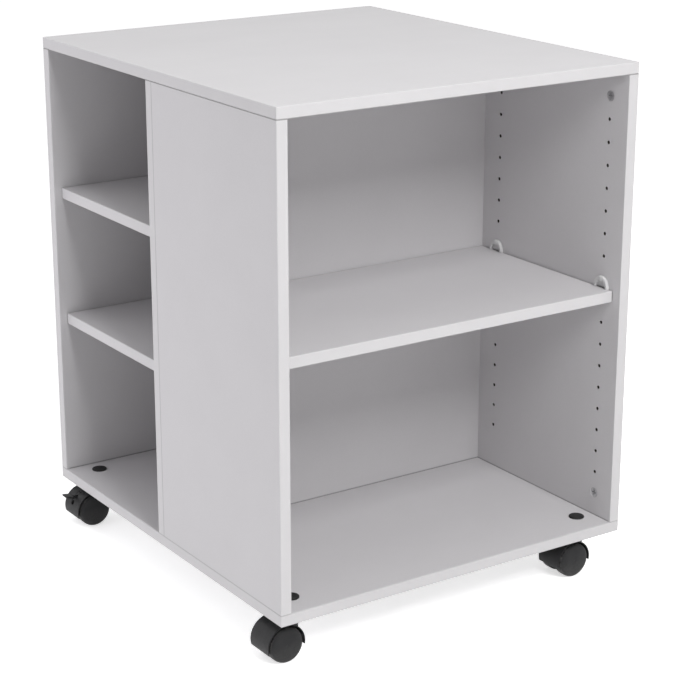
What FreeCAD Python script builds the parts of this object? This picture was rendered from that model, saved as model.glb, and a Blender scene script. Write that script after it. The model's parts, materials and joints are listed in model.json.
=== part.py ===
import FreeCAD, Part
import math
import os
import re
import Sketcher
from FreeCAD import Placement, Rotation, Vector

# Mobile open cabinet on four twin-wheel casters. The front bays open towards -Y and the side
# bays towards -X. The origin is on the floor under the middle, and +Z is up. All in millimetres.

SIZES = {
    # Carcass
    "overall_width": 570,
    "overall_depth": 634,
    "upright_height": 644,
    "board": 16,
    "front_bay_depth": 310,
    "edging": 2,
    "edging_round": 1.2,
    "edging_joint": 0.1,
    # Shelves and the drilled rows that carry them
    "row_inset": 37,
    "pin_pitch": 32,
    "pin_radius": 2.5,
    "pin_fit": 0.05,
    "pin_hole_floor": 4,
    "shelf_play": 2,
    "front_shelf_setback": 15,
    "side_shelf_setback": 12,
    "side_shelf_drop": 220,
    "side_shelf_pitch": 192,
    "side_pin_inset": 60,
    # Locking supports of the front shelf
    "support_width": 26,
    "support_plate": 1.6,
    "support_drop": 13,
    "support_rise": 20,
    "support_rim": 2.6,
    "support_rim_depth": 5.5,
    "support_boss_radius": 4,
    "support_boss_depth": 3.6,
    "support_ledge": 14,
    "support_ledge_height": 3,
    "support_pin_length": 10,
    "support_lift": 0.3,
    # Spoon pins of the side shelves
    "spoon_width": 11,
    "spoon_length": 9,
    "spoon_height": 3,
    # Cam connectors and dowels
    "cam_setback": 34,
    "cam_radius": 7.5,
    "cam_floor": 3.5,
    "cam_fit": 0.1,
    "cam_recess": 0.4,
    "cam_slot_length": 8.5,
    "cam_slot_width": 1.4,
    "cam_slot_depth": 2.2,
    "bolt_radius": 3.5,
    "bolt_bore_radius": 4,
    "bolt_neck_radius": 2,
    "bolt_head_length": 3.5,
    "bolt_neck_length": 5,
    "bolt_thread_radius": 3,
    "bolt_thread_floor": 5,
    "bolt_head_gap": 0.5,
    "dowel_radius": 4,
    "dowel_length": 30,
    "dowel_floor": 5,
    "dowel_gap": 0.5,
    "dowel_bevel": 1,
    "dowel_spacing": 64,
    "rear_cam_inset": 165,
    "rear_dowel_inset": 70,
    # Caster places and wheels
    "caster_side_inset": 42,
    "caster_end_inset": 43,
    "trail": 21,
    "wheel_radius": 25,
    "wheel_width": 15,
    "wheel_rim": 3.5,
    "wheel_wall": 2.8,
    "wheel_crown": 1.5,
    "wheel_round": 4.5,
    "wheel_hub_radius": 8.6,
    "wheel_gap": 0.5,
    "hub_gap": 0.3,
    "axle_radius": 3,
    "axle_fit": 0.05,
    "axle_cover": 5,
    # Caster housings
    "hood_clearance": 2,
    "hood_wall": 1.8,
    "hood_headroom": 10.2,
    "hood_setin": 0.6,
    "hood_skirt_angle": 18,
    "web_inset": 1,
    "axle_boss_wall": 4,
    "socket_wall": 3,
    # Swivel stems
    "stem_radius": 5,
    "stem_fit": 0.05,
    "stem_thread_radius": 4,
    "stem_thread_length": 13,
    "collar_radius": 11,
    "collar_height": 2,
    "collar_gap": 0.5,
    "groove_depth": 1,
    "clip_gap": 0.4,
    "clip_height": 1.2,
    "clip_width": 2.5,
    "clip_sweep": 290,
    "stem_tail": 1.6,
    "sleeve_wall": 1.5,
    "cap_radius": 11,
    "cap_height": 2,
    "cap_round": 0.8,
    # Brake levers
    "pivot_back": 10,
    "pivot_rise": 18,
    "pivot_radius": 1.5,
    "pivot_fit": 0.05,
    "lever_thickness": 6,
    "lever_eye_radius": 4.2,
    "lever_arm_height": 5,
    "lever_slot_gap": 0.4,
    "window_drop": 10,
    "pedal_gap": 1.5,
    "pedal_width": 19,
    "pedal_length": 13,
    "pedal_height": 5,
    "pedal_round": 1.2,
    "pedal_lift_angle": 10,
    "shoe_arm_length": 23,
    "shoe_arm_angle": 18,
    "shoe_radius": 2.4,
    "shoe_reach": 6,
    # Cuts run past the faces they open by this much
    "overrun": 5,
}

# The front shelf hangs in this hole of the drilled rows, counted from the top
FRONT_SHELF_HOLE = 8
# The upright-to-upright connectors sit this many hole steps in from the end connectors
SIDE_JOINT_STEPS = 3.5

# Places worked out from the sizes
PLACES = {
    "half_width": "overall_width / 2",
    "half_depth": "overall_depth / 2",
    "hood_inner_radius": "wheel_radius + hood_clearance",
    "hood_radius": "hood_inner_radius + hood_wall",
    "underside": "wheel_radius + hood_radius + hood_headroom",
    "floor_top": "underside + board",
    "upright_top": "floor_top + upright_height",
    "cart_top": "upright_top + board",
    "left_inner": "board - half_width",
    "right_inner": "half_width - board",
    "partition_front": "front_bay_depth - half_depth",
    "partition_middle": "partition_front + board / 2",
    "partition_rear": "partition_front + board",
    "back_front": "half_depth - board",
    "back_middle": "half_depth - board / 2",
    "front_row": "row_inset - half_depth",
    "rear_row": "partition_front - row_inset",
    "last_row": "back_front - row_inset",
    "front_pin_level": f"upright_top - cam_setback - {FRONT_SHELF_HOLE} * pin_pitch",
    "front_shelf_top": "front_pin_level - support_drop",
    "front_shelf_base": "front_shelf_top - board",
    "upper_shelf_base": "upright_top - side_shelf_drop",
    "lower_shelf_base": "upper_shelf_base - side_shelf_pitch",
    "outer_pins": "side_pin_inset - half_width",
    "inner_pins": "right_inner - side_pin_inset",
    "side_joint_inset": f"cam_setback + {SIDE_JOINT_STEPS} * pin_pitch",
    "dowel_face_depth": "board - dowel_floor",
    "dowel_end_depth": "dowel_length - dowel_face_depth",
    "thread_depth": "board - bolt_thread_floor",
    "socket_radius": "stem_radius + stem_fit + socket_wall",
    "wheel_inner": "socket_radius + wheel_gap",
    "wheel_shoulder": "wheel_inner + wheel_width",
    "wheel_face": "wheel_shoulder + wheel_crown",
    "web_half": "wheel_inner - web_inset",
    "hub_inner": "web_half + hub_gap",
    "hood_half": "wheel_shoulder - hood_setin",
    "axle_half": "wheel_face - axle_cover",
    "clip_top": "wheel_radius - clip_gap",
    "clip_base": "clip_top - clip_height",
    "stem_foot": "clip_base - stem_tail",
    "collar_base": "underside - collar_height",
    "socket_top": "collar_base - collar_gap",
    "thread_top": "underside + stem_thread_length",
    "groove_radius": "stem_radius - groove_depth",
    "sleeve_radius": "stem_thread_radius + sleeve_wall",
    "caster_side": "half_width - caster_side_inset",
    "caster_end": "half_depth - caster_end_inset",
    "pivot_along": "-trail - pivot_back",
    "pivot_level": "wheel_radius + pivot_rise",
    "pedal_start": (
        "sqrt((hood_radius + pedal_gap) ^ 2 - (pivot_rise - lever_arm_height) ^ 2) - pivot_back"
    ),
    "slot_half": "lever_thickness / 2 + lever_slot_gap",
    "shoe_half": "wheel_inner + shoe_reach",
}

AXES = {"x": Rotation(Vector(0, 1, 0), 90), "y": Rotation(Vector(1, 0, 0), -90), "z": Rotation()}
LEFT, RIGHT = Vector(-1, 0, 0), Vector(1, 0, 0)
FRONT, REAR = Vector(0, -1, 0), Vector(0, 1, 0)
DOWN, UP = Vector(0, 0, -1), Vector(0, 0, 1)

doc = FreeCAD.newDocument("mobile_cabinet")
sheet = doc.addObject("Spreadsheet::Sheet", "dims")
for row, (alias, value) in enumerate(SIZES.items(), start=1):
    sheet.set(f"A{row}", alias)
    sheet.set(f"B{row}", str(value))
    sheet.setAlias(f"B{row}", alias)
doc.recompute()

nodes = []


def formula(text):
    """Write out the places in a formula and point its sizes at the sheet."""

    def write_out(match):
        word = match.group()
        if word in PLACES:
            return f"({formula(PLACES[word])})"
        return f"dims.{word}" if word in SIZES else word

    return re.sub(r"[a-z][a-z_]*", write_out, text)


def bind(item, **sizes):
    """Tie an object's sizes to formulas."""
    for name, text in sizes.items():
        item.setExpression(name, formula(text))
    return item


def place(item, spot, turn=Rotation()):
    """Turn an object and tie its place to formulas for x, y and z."""
    item.Placement = Placement(Vector(), turn)
    for axis, text in zip("xyz", spot):
        item.setExpression(f"Placement.Base.{axis}", formula(text))
    return item


def node(label, item):
    """Name an object as a finished sub-part."""
    item.Label = label
    nodes.append(item)
    return item


def block(name, low, high):
    """A box between two corners."""
    box = doc.addObject("Part::Box", name)
    spans = [f"({top}) - ({base})" for base, top in zip(low, high)]
    bind(box, Length=spans[0], Width=spans[1], Height=spans[2])
    return place(box, low)


def rod(name, radius, length, spot, axis="z"):
    """A cylinder that starts at a spot and runs along an axis."""
    cylinder = doc.addObject("Part::Cylinder", name)
    bind(cylinder, Radius=radius, Height=length)
    return place(cylinder, spot, AXES[axis])


def fuse(name, items):
    """Several solids made one."""
    joined = doc.addObject("Part::MultiFuse", name)
    joined.Shapes = items
    joined.Refine = True
    return joined


def cut(name, base, tools):
    """A solid with other solids taken away."""
    rest = doc.addObject("Part::Cut", name)
    rest.Base = base
    rest.Tool = tools[0] if len(tools) == 1 else fuse(f"{name}_tools", tools)
    return rest


def group(label, items):
    """Several separate solids kept as one sub-part."""
    together = doc.addObject("Part::Compound", label)
    together.Links = items
    return node(label, together)


def copy(form, name, spot, turn=Rotation()):
    """A placed copy of a form."""
    link = doc.addObject("App::Link", name)
    link.LinkedObject = form
    link.LinkTransform = True
    return place(link, spot, turn)


def origin_plane(body, role):
    """One of a body's own origin planes."""
    return [feature for feature in body.Origin.OriginFeatures if feature.Role == role][0]


def point(across, up):
    """The present place that a pair of formulas gives."""
    probe = bind(doc.addObject("Part::Vertex", "probe"), X=across, Y=up)
    doc.recompute()
    spot = Vector(probe.X.Value, probe.Y.Value, 0)
    doc.removeObject(probe.Name)
    return spot


def size(text):
    """The present value of a formula, in millimetres or degrees."""
    return point(text, "0").x


def turned(name, outline, domed=None):
    """A body turned about its own Z axis from (radius, height) corners. The side that starts at
    the corner number given as domed is an arc that ends on the axis, square to it."""
    body = doc.addObject("PartDesign::Body", name)
    sketch = body.newObject("Sketcher::SketchObject", f"{name}_outline")
    sketch.AttachmentSupport = [(origin_plane(body, "XZ_Plane"), "")]
    sketch.MapMode = "FlatFace"
    starts = [point(*corner) for corner in outline]
    for corner, start in enumerate(starts):
        end = starts[(corner + 1) % len(starts)]
        line = Part.LineSegment(start, end)
        if corner == domed:
            drop = end.y - start.y
            radius = (start.x ** 2 + drop ** 2) / (2 * drop)
            circle = Part.Circle(Vector(0, end.y - radius, 0), UP, radius)
            line = Part.ArcOfCircle(circle, math.acos(start.x / radius), math.pi / 2)
        sketch.addGeometry(line, False)
    for corner, start in enumerate(starts):
        follower = (corner + 1) % len(starts)
        sketch.addConstraint(Sketcher.Constraint("Coincident", corner, 2, follower, 1))
        for kind, text, value in zip(("DistanceX", "DistanceY"), outline[corner], start):
            number = sketch.addConstraint(Sketcher.Constraint(kind, -1, 1, corner, 1, value))
            sketch.setExpression(f"Constraints[{number}]", formula(text))
    if domed is not None:
        sketch.addConstraint(Sketcher.Constraint("PointOnObject", domed, 3, -2))
    solid = body.newObject("PartDesign::Revolution", f"{name}_turning")
    solid.Profile = sketch
    solid.ReferenceAxis = (sketch, ["V_Axis"])
    solid.Angle = 360
    doc.recompute()
    return body


def rounded(body, radius, wanted):
    """Round the edges of a body that the test picks."""
    base = body.Tip
    picked = [f"Edge{number}" for number, edge in enumerate(base.Shape.Edges, start=1) if wanted(edge)]
    fillet = body.newObject("PartDesign::Fillet", f"{body.Name}_round")
    fillet.Base = (base, picked)
    bind(fillet, Radius=radius)
    doc.recompute()
    return body


# Forms that the connectors and bores are copied from. Each one's +Z runs from the joint into the
# upright, and +X comes out of the face that the cam is set in.

cam_seat = ("cam_floor - board / 2", "0", "cam_setback")
cam_bore = rod("cam_bore", "cam_radius + cam_fit", "board - cam_floor + overrun", cam_seat, "x")
bolt_bore = rod("bolt_bore", "bolt_bore_radius", "cam_setback", ("0", "0", "0"))
thread_bore = rod("thread_bore", "bolt_thread_radius", "thread_depth", ("0", "0", "-thread_depth"))
connector_bore = fuse("connector_bore", [cam_bore, bolt_bore, thread_bore])

cam_face = "board / 2 - cam_recess"
cam_disc = rod("cam_disc", "cam_radius", f"{cam_face} - cam_floor + board / 2", cam_seat, "x")
cam_channel = rod(
    "cam_channel", "bolt_bore_radius", "cam_radius + bolt_bore_radius + overrun",
    ("0", "0", "cam_setback - cam_radius - overrun"),
)
cam_heart = rod(
    "cam_heart", "bolt_bore_radius", "2 * bolt_bore_radius", ("-bolt_bore_radius", "0", "cam_setback"), "x"
)
cam_slots = [
    block(
        f"cam_slot_{way}",
        (f"{cam_face} - cam_slot_depth", f"-{across} / 2", f"cam_setback - {along} / 2"),
        (f"{cam_face} + overrun", f"{across} / 2", f"cam_setback + {along} / 2"),
    )
    for way, across, along in (
        ("wide", "cam_slot_length", "cam_slot_width"),
        ("tall", "cam_slot_width", "cam_slot_length"),
    )
]
cam_lock = cut("cam_lock", cam_disc, [cam_channel, cam_heart] + cam_slots)

bolt_tip = "cam_setback + bolt_bore_radius - bolt_head_gap"
cam_bolt = turned("cam_bolt", (
    ("0", "bolt_head_gap - thread_depth"),
    ("bolt_thread_radius", "bolt_head_gap - thread_depth"),
    ("bolt_thread_radius", "0"),
    ("bolt_radius", "0"),
    ("bolt_radius", f"{bolt_tip} - bolt_head_length - bolt_neck_length"),
    ("bolt_neck_radius", f"{bolt_tip} - bolt_head_length - bolt_neck_length"),
    ("bolt_neck_radius", f"{bolt_tip} - bolt_head_length"),
    ("bolt_radius", f"{bolt_tip} - bolt_head_length"),
    ("bolt_radius", bolt_tip),
    ("0", bolt_tip),
))

dowel_bore = rod(
    "dowel_bore", "dowel_radius", "dowel_length + 2 * dowel_gap", ("0", "0", "-dowel_face_depth - dowel_gap")
)
wooden_dowel = turned("wooden_dowel", (
    ("0", "-dowel_face_depth"),
    ("dowel_radius - dowel_bevel", "-dowel_face_depth"),
    ("dowel_radius", "dowel_bevel - dowel_face_depth"),
    ("dowel_radius", "dowel_end_depth - dowel_bevel"),
    ("dowel_radius - dowel_bevel", "dowel_end_depth"),
    ("0", "dowel_end_depth"),
))

# A blind hole for a shelf pin: +Z runs into the board
pin_hole = rod("pin_hole", "pin_radius", "board - pin_hole_floor + overrun", ("0", "0", "-overrun"))

# What each board has to have drilled in it, and the fittings that go there
bores = {}
fittings = {"cam_locks": [], "cam_bolts": [], "wooden_dowels": []}


def drill(board_name, form, spot, turn):
    """Add a bore to a board."""
    drilled = bores.setdefault(board_name, [])
    drilled.append(copy(form, f"{board_name}_bore_{len(drilled)}", spot, turn))


def fit(kind, form, spot, turn):
    """Add a fitting to its set."""
    fittings[kind].append(copy(form, f"{kind}_{len(fittings[kind])}", spot, turn))


def connector(upright, mate, spot, inward, face):
    """A cam and its bolt that draw an upright's end against its mate."""
    turn = Rotation(face, inward.cross(face), inward, "ZXY")
    for board_name in (upright, mate):
        drill(board_name, connector_bore, spot, turn)
    fit("cam_locks", cam_lock, spot, turn)
    fit("cam_bolts", cam_bolt, spot, turn)


def dowel(upright, mate, spot, inward):
    """A dowel across the joint between an upright's end and its mate."""
    turn = Rotation(UP, inward)
    for board_name in (upright, mate):
        drill(board_name, dowel_bore, spot, turn)
    fit("wooden_dowels", wooden_dowel, spot, turn)


# Each upright's line of connectors and dowels to the top and bottom panels: the places along
# the line, and the face that the cams are set in
side_middle = "half_width - board / 2"
END_LINES = {
    "right_side_panel": (
        [(side_middle, "front_row"), (side_middle, "last_row")],
        [(side_middle, "front_row + dowel_spacing"), (side_middle, "last_row - dowel_spacing")],
        LEFT,
    ),
    "left_side_panel": (
        [(f"-({side_middle})", "front_row"), (f"-({side_middle})", "rear_row")],
        [
            (f"-({side_middle})", "front_row + dowel_spacing"),
            (f"-({side_middle})", "rear_row - dowel_spacing"),
        ],
        RIGHT,
    ),
    "partition_panel": (
        [
            ("rear_cam_inset - half_width", "partition_middle"),
            ("right_inner - rear_cam_inset", "partition_middle"),
        ],
        [
            ("rear_dowel_inset - half_width", "partition_middle"),
            ("right_inner - rear_dowel_inset", "partition_middle"),
        ],
        REAR,
    ),
    "back_panel": (
        [("rear_cam_inset - half_width", "back_middle"), ("right_inner - rear_cam_inset", "back_middle")],
        [("rear_dowel_inset - half_width", "back_middle"), ("right_inner - rear_dowel_inset", "back_middle")],
        FRONT,
    ),
}
for upright, (cams, dowels, face) in END_LINES.items():
    for mate, level, inward in (("top_panel", "upright_top", DOWN), ("bottom_panel", "floor_top", UP)):
        for x, y in cams:
            connector(upright, mate, (x, y, level), inward, face)
        for x, y in dowels:
            dowel(upright, mate, (x, y, level), inward)

# Uprights that meet another upright's face
SIDE_JOINTS = (
    ("partition_panel", "right_side_panel", ("right_inner", "partition_middle"), LEFT, REAR),
    ("back_panel", "right_side_panel", ("right_inner", "back_middle"), LEFT, FRONT),
    ("left_side_panel", "partition_panel", (f"-({side_middle})", "partition_front"), FRONT, RIGHT),
)
for upright, mate, (x, y), inward, face in SIDE_JOINTS:
    for level in ("upright_top - side_joint_inset", "floor_top + side_joint_inset"):
        connector(upright, mate, (x, y, level), inward, face)

# Rows of holes for the front shelf, in both sides
row_count = int(size("upright_height - 2 * cam_setback") / size("pin_pitch") + size("pin_fit")) - 1
for number in range(1, row_count + 1):
    level = f"upright_top - cam_setback - {number} * pin_pitch"
    for y in ("front_row", "rear_row"):
        drill("left_side_panel", pin_hole, ("left_inner", y, level), Rotation(UP, LEFT))
        drill("right_side_panel", pin_hole, ("right_inner", y, level), Rotation(UP, RIGHT))

# Holes for the pins of the side shelves
SIDE_SHELVES = {"upper_side_shelf": "upper_shelf_base", "lower_side_shelf": "lower_shelf_base"}
for level in SIDE_SHELVES.values():
    for x in ("outer_pins", "inner_pins"):
        drill("partition_panel", pin_hole, (x, "partition_rear", level), Rotation(UP, FRONT))
        drill("back_panel", pin_hole, (x, "back_front", level), Rotation(UP, REAR))

# The places of the casters under the bottom panel, and the way each one is turned
CASTERS = {
    "front_left": ("-caster_side", "-caster_end", 0),
    "front_right": ("caster_side", "-caster_end", 0),
    "rear_left": ("-caster_side", "caster_end", 0),
    "rear_right": ("caster_side", "caster_end", 180),
}
BRAKED = ("rear_left", "rear_right")
sleeve_bore = rod("sleeve_bore", "sleeve_radius", "board + 2 * overrun", ("0", "0", "underside - overrun"))
for x, y, _ in CASTERS.values():
    drill("bottom_panel", sleeve_bore, (x, y, "0"), Rotation())

# Boards, without their edging
outer_left = "edging - half_width"
outer_right = "half_width - edging"
outer_front = "edging - half_depth"
outer_rear = "half_depth - edging"
BOARDS = {
    "top_panel": ((outer_left, outer_front, "upright_top"), (outer_right, outer_rear, "cart_top")),
    "bottom_panel": ((outer_left, outer_front, "underside"), (outer_right, outer_rear, "floor_top")),
    "right_side_panel": (
        ("right_inner", outer_front, "floor_top"),
        ("half_width", outer_rear, "upright_top"),
    ),
    "left_side_panel": (
        ("-half_width", outer_front, "floor_top"),
        ("left_inner", "partition_front", "upright_top"),
    ),
    "partition_panel": (
        (outer_left, "partition_front", "floor_top"),
        ("right_inner", "partition_rear", "upright_top"),
    ),
    "back_panel": ((outer_left, "back_front", "floor_top"), ("right_inner", "half_depth", "upright_top")),
}
for label, (low, high) in BOARDS.items():
    node(label, cut(label, block(f"{label}_blank", low, high), bores[label]))

shelf_front = "front_shelf_setback - half_depth"
shelf_left = "left_inner + shelf_play"
shelf_right = "right_inner - shelf_play"
node("front_shelf", block(
    "front_shelf",
    (shelf_left, f"{shelf_front} + edging", "front_shelf_base"),
    (shelf_right, "partition_front - shelf_play", "front_shelf_top"),
))
side_shelf_edge = "side_shelf_setback - half_width"
for label, level in SIDE_SHELVES.items():
    node(label, block(
        label,
        (f"{side_shelf_edge} + edging", "partition_rear + shelf_play", level),
        (shelf_right, "back_front - shelf_play", f"{level} + board"),
    ))


# Edging: strips of moulded trim on the edges that show, with their outer edges rounded

def strip(name, low, high, outward, wraps=False):
    """One strip of edging. A strip that wraps covers its neighbours' ends, so its own ends are
    rounded too."""
    body = doc.addObject("PartDesign::Body", name)
    bar = body.newObject("PartDesign::AdditiveBox", f"{name}_bar")
    spans = [f"({top}) - ({base})" for base, top in zip(low, high)]
    bind(bar, Length=spans[0], Width=spans[1], Height=spans[2])
    doc.recompute()
    box = bar.Shape.BoundBox
    lengths = (box.XLength, box.YLength, box.ZLength)
    run = (RIGHT, REAR, UP)[lengths.index(max(lengths))]

    def shows(edge):
        """True for an outer edge that runs along the strip, or that shows at its end."""
        middle = (edge.Vertexes[0].Point + edge.Vertexes[1].Point) / 2 - box.Center
        along = (edge.Vertexes[1].Point - edge.Vertexes[0].Point).normalize()
        depth = middle.dot(outward)
        if wraps:
            return depth > -size("edging_round") / 2
        return depth > 0 and abs(along.dot(run)) > abs(along.dot(outward.cross(run)))

    rounded(body, "edging_round", shows)
    return place(body, low)


def frame_edging(label, base, top):
    """The four strips round a horizontal panel: front and rear wrap the corners."""
    near = f"{outer_front} + edging_joint"
    far = f"{outer_rear} - edging_joint"
    runs = {
        "front": (("-half_width", "-half_depth", base), ("half_width", outer_front, top), FRONT, True),
        "rear": (("-half_width", outer_rear, base), ("half_width", "half_depth", top), REAR, True),
        "left": (("-half_width", near, base), (outer_left, far, top), LEFT),
        "right": ((outer_right, near, base), ("half_width", far, top), RIGHT),
    }
    group(label, [strip(f"{label}_{side}", *run) for side, run in runs.items()])


frame_edging("top_panel_edging", "upright_top", "cart_top")
frame_edging("bottom_panel_edging", "underside", "floor_top")

group("right_side_edging", [
    strip(
        "right_side_front_strip",
        ("right_inner", "-half_depth", "floor_top"), ("half_width", outer_front, "upright_top"), FRONT,
    ),
    strip(
        "right_side_rear_strip",
        ("right_inner", outer_rear, "floor_top"), ("half_width", "half_depth", "upright_top"), REAR,
    ),
])
SINGLE_STRIPS = {
    "left_side_edging": (
        ("-half_width", "-half_depth", "floor_top"), ("left_inner", outer_front, "upright_top"), FRONT,
    ),
    "partition_edging": (
        ("-half_width", "partition_front", "floor_top"), (outer_left, "partition_rear", "upright_top"), LEFT,
    ),
    "back_panel_edging": (
        ("-half_width", "back_front", "floor_top"), (outer_left, "half_depth", "upright_top"), LEFT,
    ),
    "front_shelf_edging": (
        (shelf_left, shelf_front, "front_shelf_base"),
        (shelf_right, f"{shelf_front} + edging", "front_shelf_top"),
        FRONT,
    ),
}
for label, level in SIDE_SHELVES.items():
    SINGLE_STRIPS[f"{label}_edging"] = (
        (side_shelf_edge, "partition_rear + shelf_play", level),
        (f"{side_shelf_edge} + edging", "back_front - shelf_play", f"{level} + board"),
        LEFT,
    )
for label, (low, high, outward) in SINGLE_STRIPS.items():
    node(label, strip(label, low, high, outward))

for label, items in fittings.items():
    group(label, items)

# Locking supports of the front shelf. The form's origin is the pin's hole on the panel's face,
# +X points into the bay and +Z is up.

support_half = "support_width / 2"
arch_centre = f"support_rise - support_drop - {support_half}"
arch_base = "support_lift - support_drop"
ledge_top = "-support_drop - board"


def arch(name, half, depth):
    """A round-topped slab that stands on the shelf's top."""
    return fuse(name, [
        block(f"{name}_foot", ("0", f"-({half})", arch_base), (depth, half, arch_centre)),
        cut(f"{name}_crown", rod(f"{name}_disc", half, depth, ("0", "0", arch_centre), "x"), [
            block(
                f"{name}_under",
                ("-overrun", f"-({half}) - overrun", f"{arch_base} - ({half}) - overrun"),
                ("support_rim_depth + overrun", f"{half} + overrun", arch_base),
            ),
        ]),
    ])


rim_hollow = f"{support_half} - support_rim"
support_rim = cut("support_rim", arch("support_arch", support_half, "support_rim_depth"), [
    arch("support_hollow", rim_hollow, "support_rim_depth + overrun"),
])
shelf_support = fuse("shelf_support", [
    support_rim,
    arch("support_web", support_half, "support_plate"),
    block(
        "support_strap",
        ("0", f"-({support_half})", f"{ledge_top} - support_ledge_height"),
        ("support_plate", support_half, arch_centre),
    ),
    block(
        "support_ledge",
        ("0", f"-({support_half})", f"{ledge_top} - support_ledge_height"),
        ("support_ledge", support_half, ledge_top),
    ),
    rod("support_boss", "support_boss_radius", "support_boss_depth", ("0", "0", "0"), "x"),
    rod(
        "support_pin", "pin_radius - pin_fit", "support_pin_length + support_plate",
        ("-support_pin_length", "0", "0"), "x",
    ),
])
HALF_TURN = Rotation(UP, 180)
group("front_shelf_supports", [
    copy(shelf_support, f"front_shelf_support_{side}_{row}", (x, y, "front_pin_level"), turn)
    for side, x, turn in (("left", "left_inner", Rotation()), ("right", "right_inner", HALF_TURN))
    for row, y in (("front", "front_row"), ("rear", "rear_row"))
])

# Spoon pins of the side shelves: +Y points away from the board they are set in
spoon_pin = fuse("spoon_pin", [
    rod(
        "spoon_shank", "pin_radius - pin_fit", "board - pin_hole_floor",
        ("0", "pin_hole_floor - board", "0"), "y",
    ),
    block(
        "spoon_tab",
        ("-spoon_width / 2", "0", "-spoon_height"), ("spoon_width / 2", "spoon_length", "0"),
    ),
])
for label, level in SIDE_SHELVES.items():
    group(f"{label}_pins", [
        copy(spoon_pin, f"{label}_pin_{wall}_{place_name}", (x, y, level), turn)
        for wall, y, turn in (("fore", "partition_rear", Rotation()), ("back", "back_front", HALF_TURN))
        for place_name, x in (("outer", "outer_pins"), ("inner", "inner_pins"))
    ])

# Casters. Each one's own origin is on the floor under its swivel, and it trails towards -X.

swivel_stem = turned("swivel_stem", (
    ("0", "stem_foot"),
    ("stem_radius", "stem_foot"),
    ("stem_radius", "clip_base"),
    ("groove_radius", "clip_base"),
    ("groove_radius", "clip_top"),
    ("stem_radius", "clip_top"),
    ("stem_radius", "collar_base"),
    ("collar_radius", "collar_base"),
    ("collar_radius", "underside"),
    ("stem_thread_radius", "underside"),
    ("stem_thread_radius", "thread_top"),
    ("0", "thread_top"),
))
sleeve_nut = turned("sleeve_nut", (
    ("stem_thread_radius", "underside"),
    ("sleeve_radius", "underside"),
    ("sleeve_radius", "floor_top"),
    ("cap_radius", "floor_top"),
    ("cap_radius", "floor_top + cap_height"),
    ("0", "floor_top + cap_height"),
    ("0", "thread_top"),
    ("stem_thread_radius", "thread_top"),
))
cap_level = size("floor_top + cap_height")
cap_edge = size("cap_radius")
rounded(sleeve_nut, "cap_round", lambda edge: (
    abs(edge.BoundBox.ZMin - cap_level) < size("pin_fit")
    and edge.BoundBox.XMax > cap_edge - size("cap_round")
))
clip_ring = rod("clip_ring", "groove_radius + clip_width", "clip_height", ("0", "0", "clip_base"))
bind(clip_ring, Angle="clip_sweep")
stem_clip = cut("stem_clip", clip_ring, [
    rod("clip_eye", "groove_radius", "clip_height + 2 * overrun", ("0", "0", "clip_base - overrun")),
])
CASTER_SETS = {"caster_stems": swivel_stem, "caster_sleeve_nuts": sleeve_nut, "caster_clips": stem_clip}
for label, form in CASTER_SETS.items():
    group(label, [
        copy(form, f"{label}_{corner}", (x, y, "0"), Rotation(UP, turn))
        for corner, (x, y, turn) in CASTERS.items()
    ])


def sector(name, radius, half, start, sweep):
    """A wedge of a cylinder along the axle, from a start angle above +X."""
    wedge = rod(name, radius, f"2 * ({half})", ("-trail", f"-({half})", "wheel_radius"), "y")
    bind(wedge, Angle=sweep)
    wedge.Placement = Placement(Vector(), AXES["y"].multiply(Rotation(UP, start)))
    return wedge


def lever_slot(name):
    """The slot in the web that the brake lever swings in, and the window in the hood for its arm."""
    front = "pivot_along + lever_eye_radius + lever_slot_gap"
    return fuse(name, [
        block(
            f"{name}_room",
            ("-trail - wheel_radius", "-slot_half", "wheel_radius - lever_slot_gap"),
            (front, "slot_half", "pivot_level"),
        ),
        block(
            f"{name}_window",
            ("-trail - hood_radius - overrun", "-slot_half", "pivot_level - window_drop"),
            (front, "slot_half", "pivot_level + lever_eye_radius + lever_arm_height / 2 + lever_slot_gap"),
        ),
    ])


def housing(corner, braked):
    """A hood over both wheels, on a web that holds the axle and the swivel socket."""
    name = f"{corner}_housing"
    skirt = size("hood_skirt_angle")
    outer = sector(f"{name}_outer", "hood_radius", "hood_half", 180 - skirt, "180 + hood_skirt_angle")
    shell = cut(f"{name}_shell", outer, [
        rod(
            f"{name}_inner", "hood_inner_radius", "2 * (hood_half + overrun)",
            ("-trail", "-hood_half - overrun", "wheel_radius"), "y",
        ),
    ])
    web = sector(f"{name}_web", "hood_inner_radius + hood_wall / 2", "web_half", 180, "180")
    boss = rod(
        f"{name}_axle_boss", "axle_radius + axle_boss_wall", "2 * web_half",
        ("-trail", "-web_half", "wheel_radius"), "y",
    )
    socket = rod(f"{name}_socket", "socket_radius", "socket_top - wheel_radius", ("0", "0", "wheel_radius"))
    tools = [
        rod(
            f"{name}_axle_bore", "axle_radius", "2 * (web_half + overrun)",
            ("-trail", "-web_half - overrun", "wheel_radius"), "y",
        ),
        rod(
            f"{name}_stem_bore", "stem_radius + stem_fit", "socket_top - stem_foot + overrun",
            ("0", "0", "stem_foot"),
        ),
    ]
    if braked:
        tools.append(lever_slot(f"{name}_slot"))
        tools.append(rod(
            f"{name}_pivot_bore", "pivot_radius", "2 * (web_half + overrun)",
            ("pivot_along", "-web_half - overrun", "pivot_level"), "y",
        ))
    return cut(name, fuse(f"{name}_body", [shell, web, boss, socket]), tools)


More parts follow.
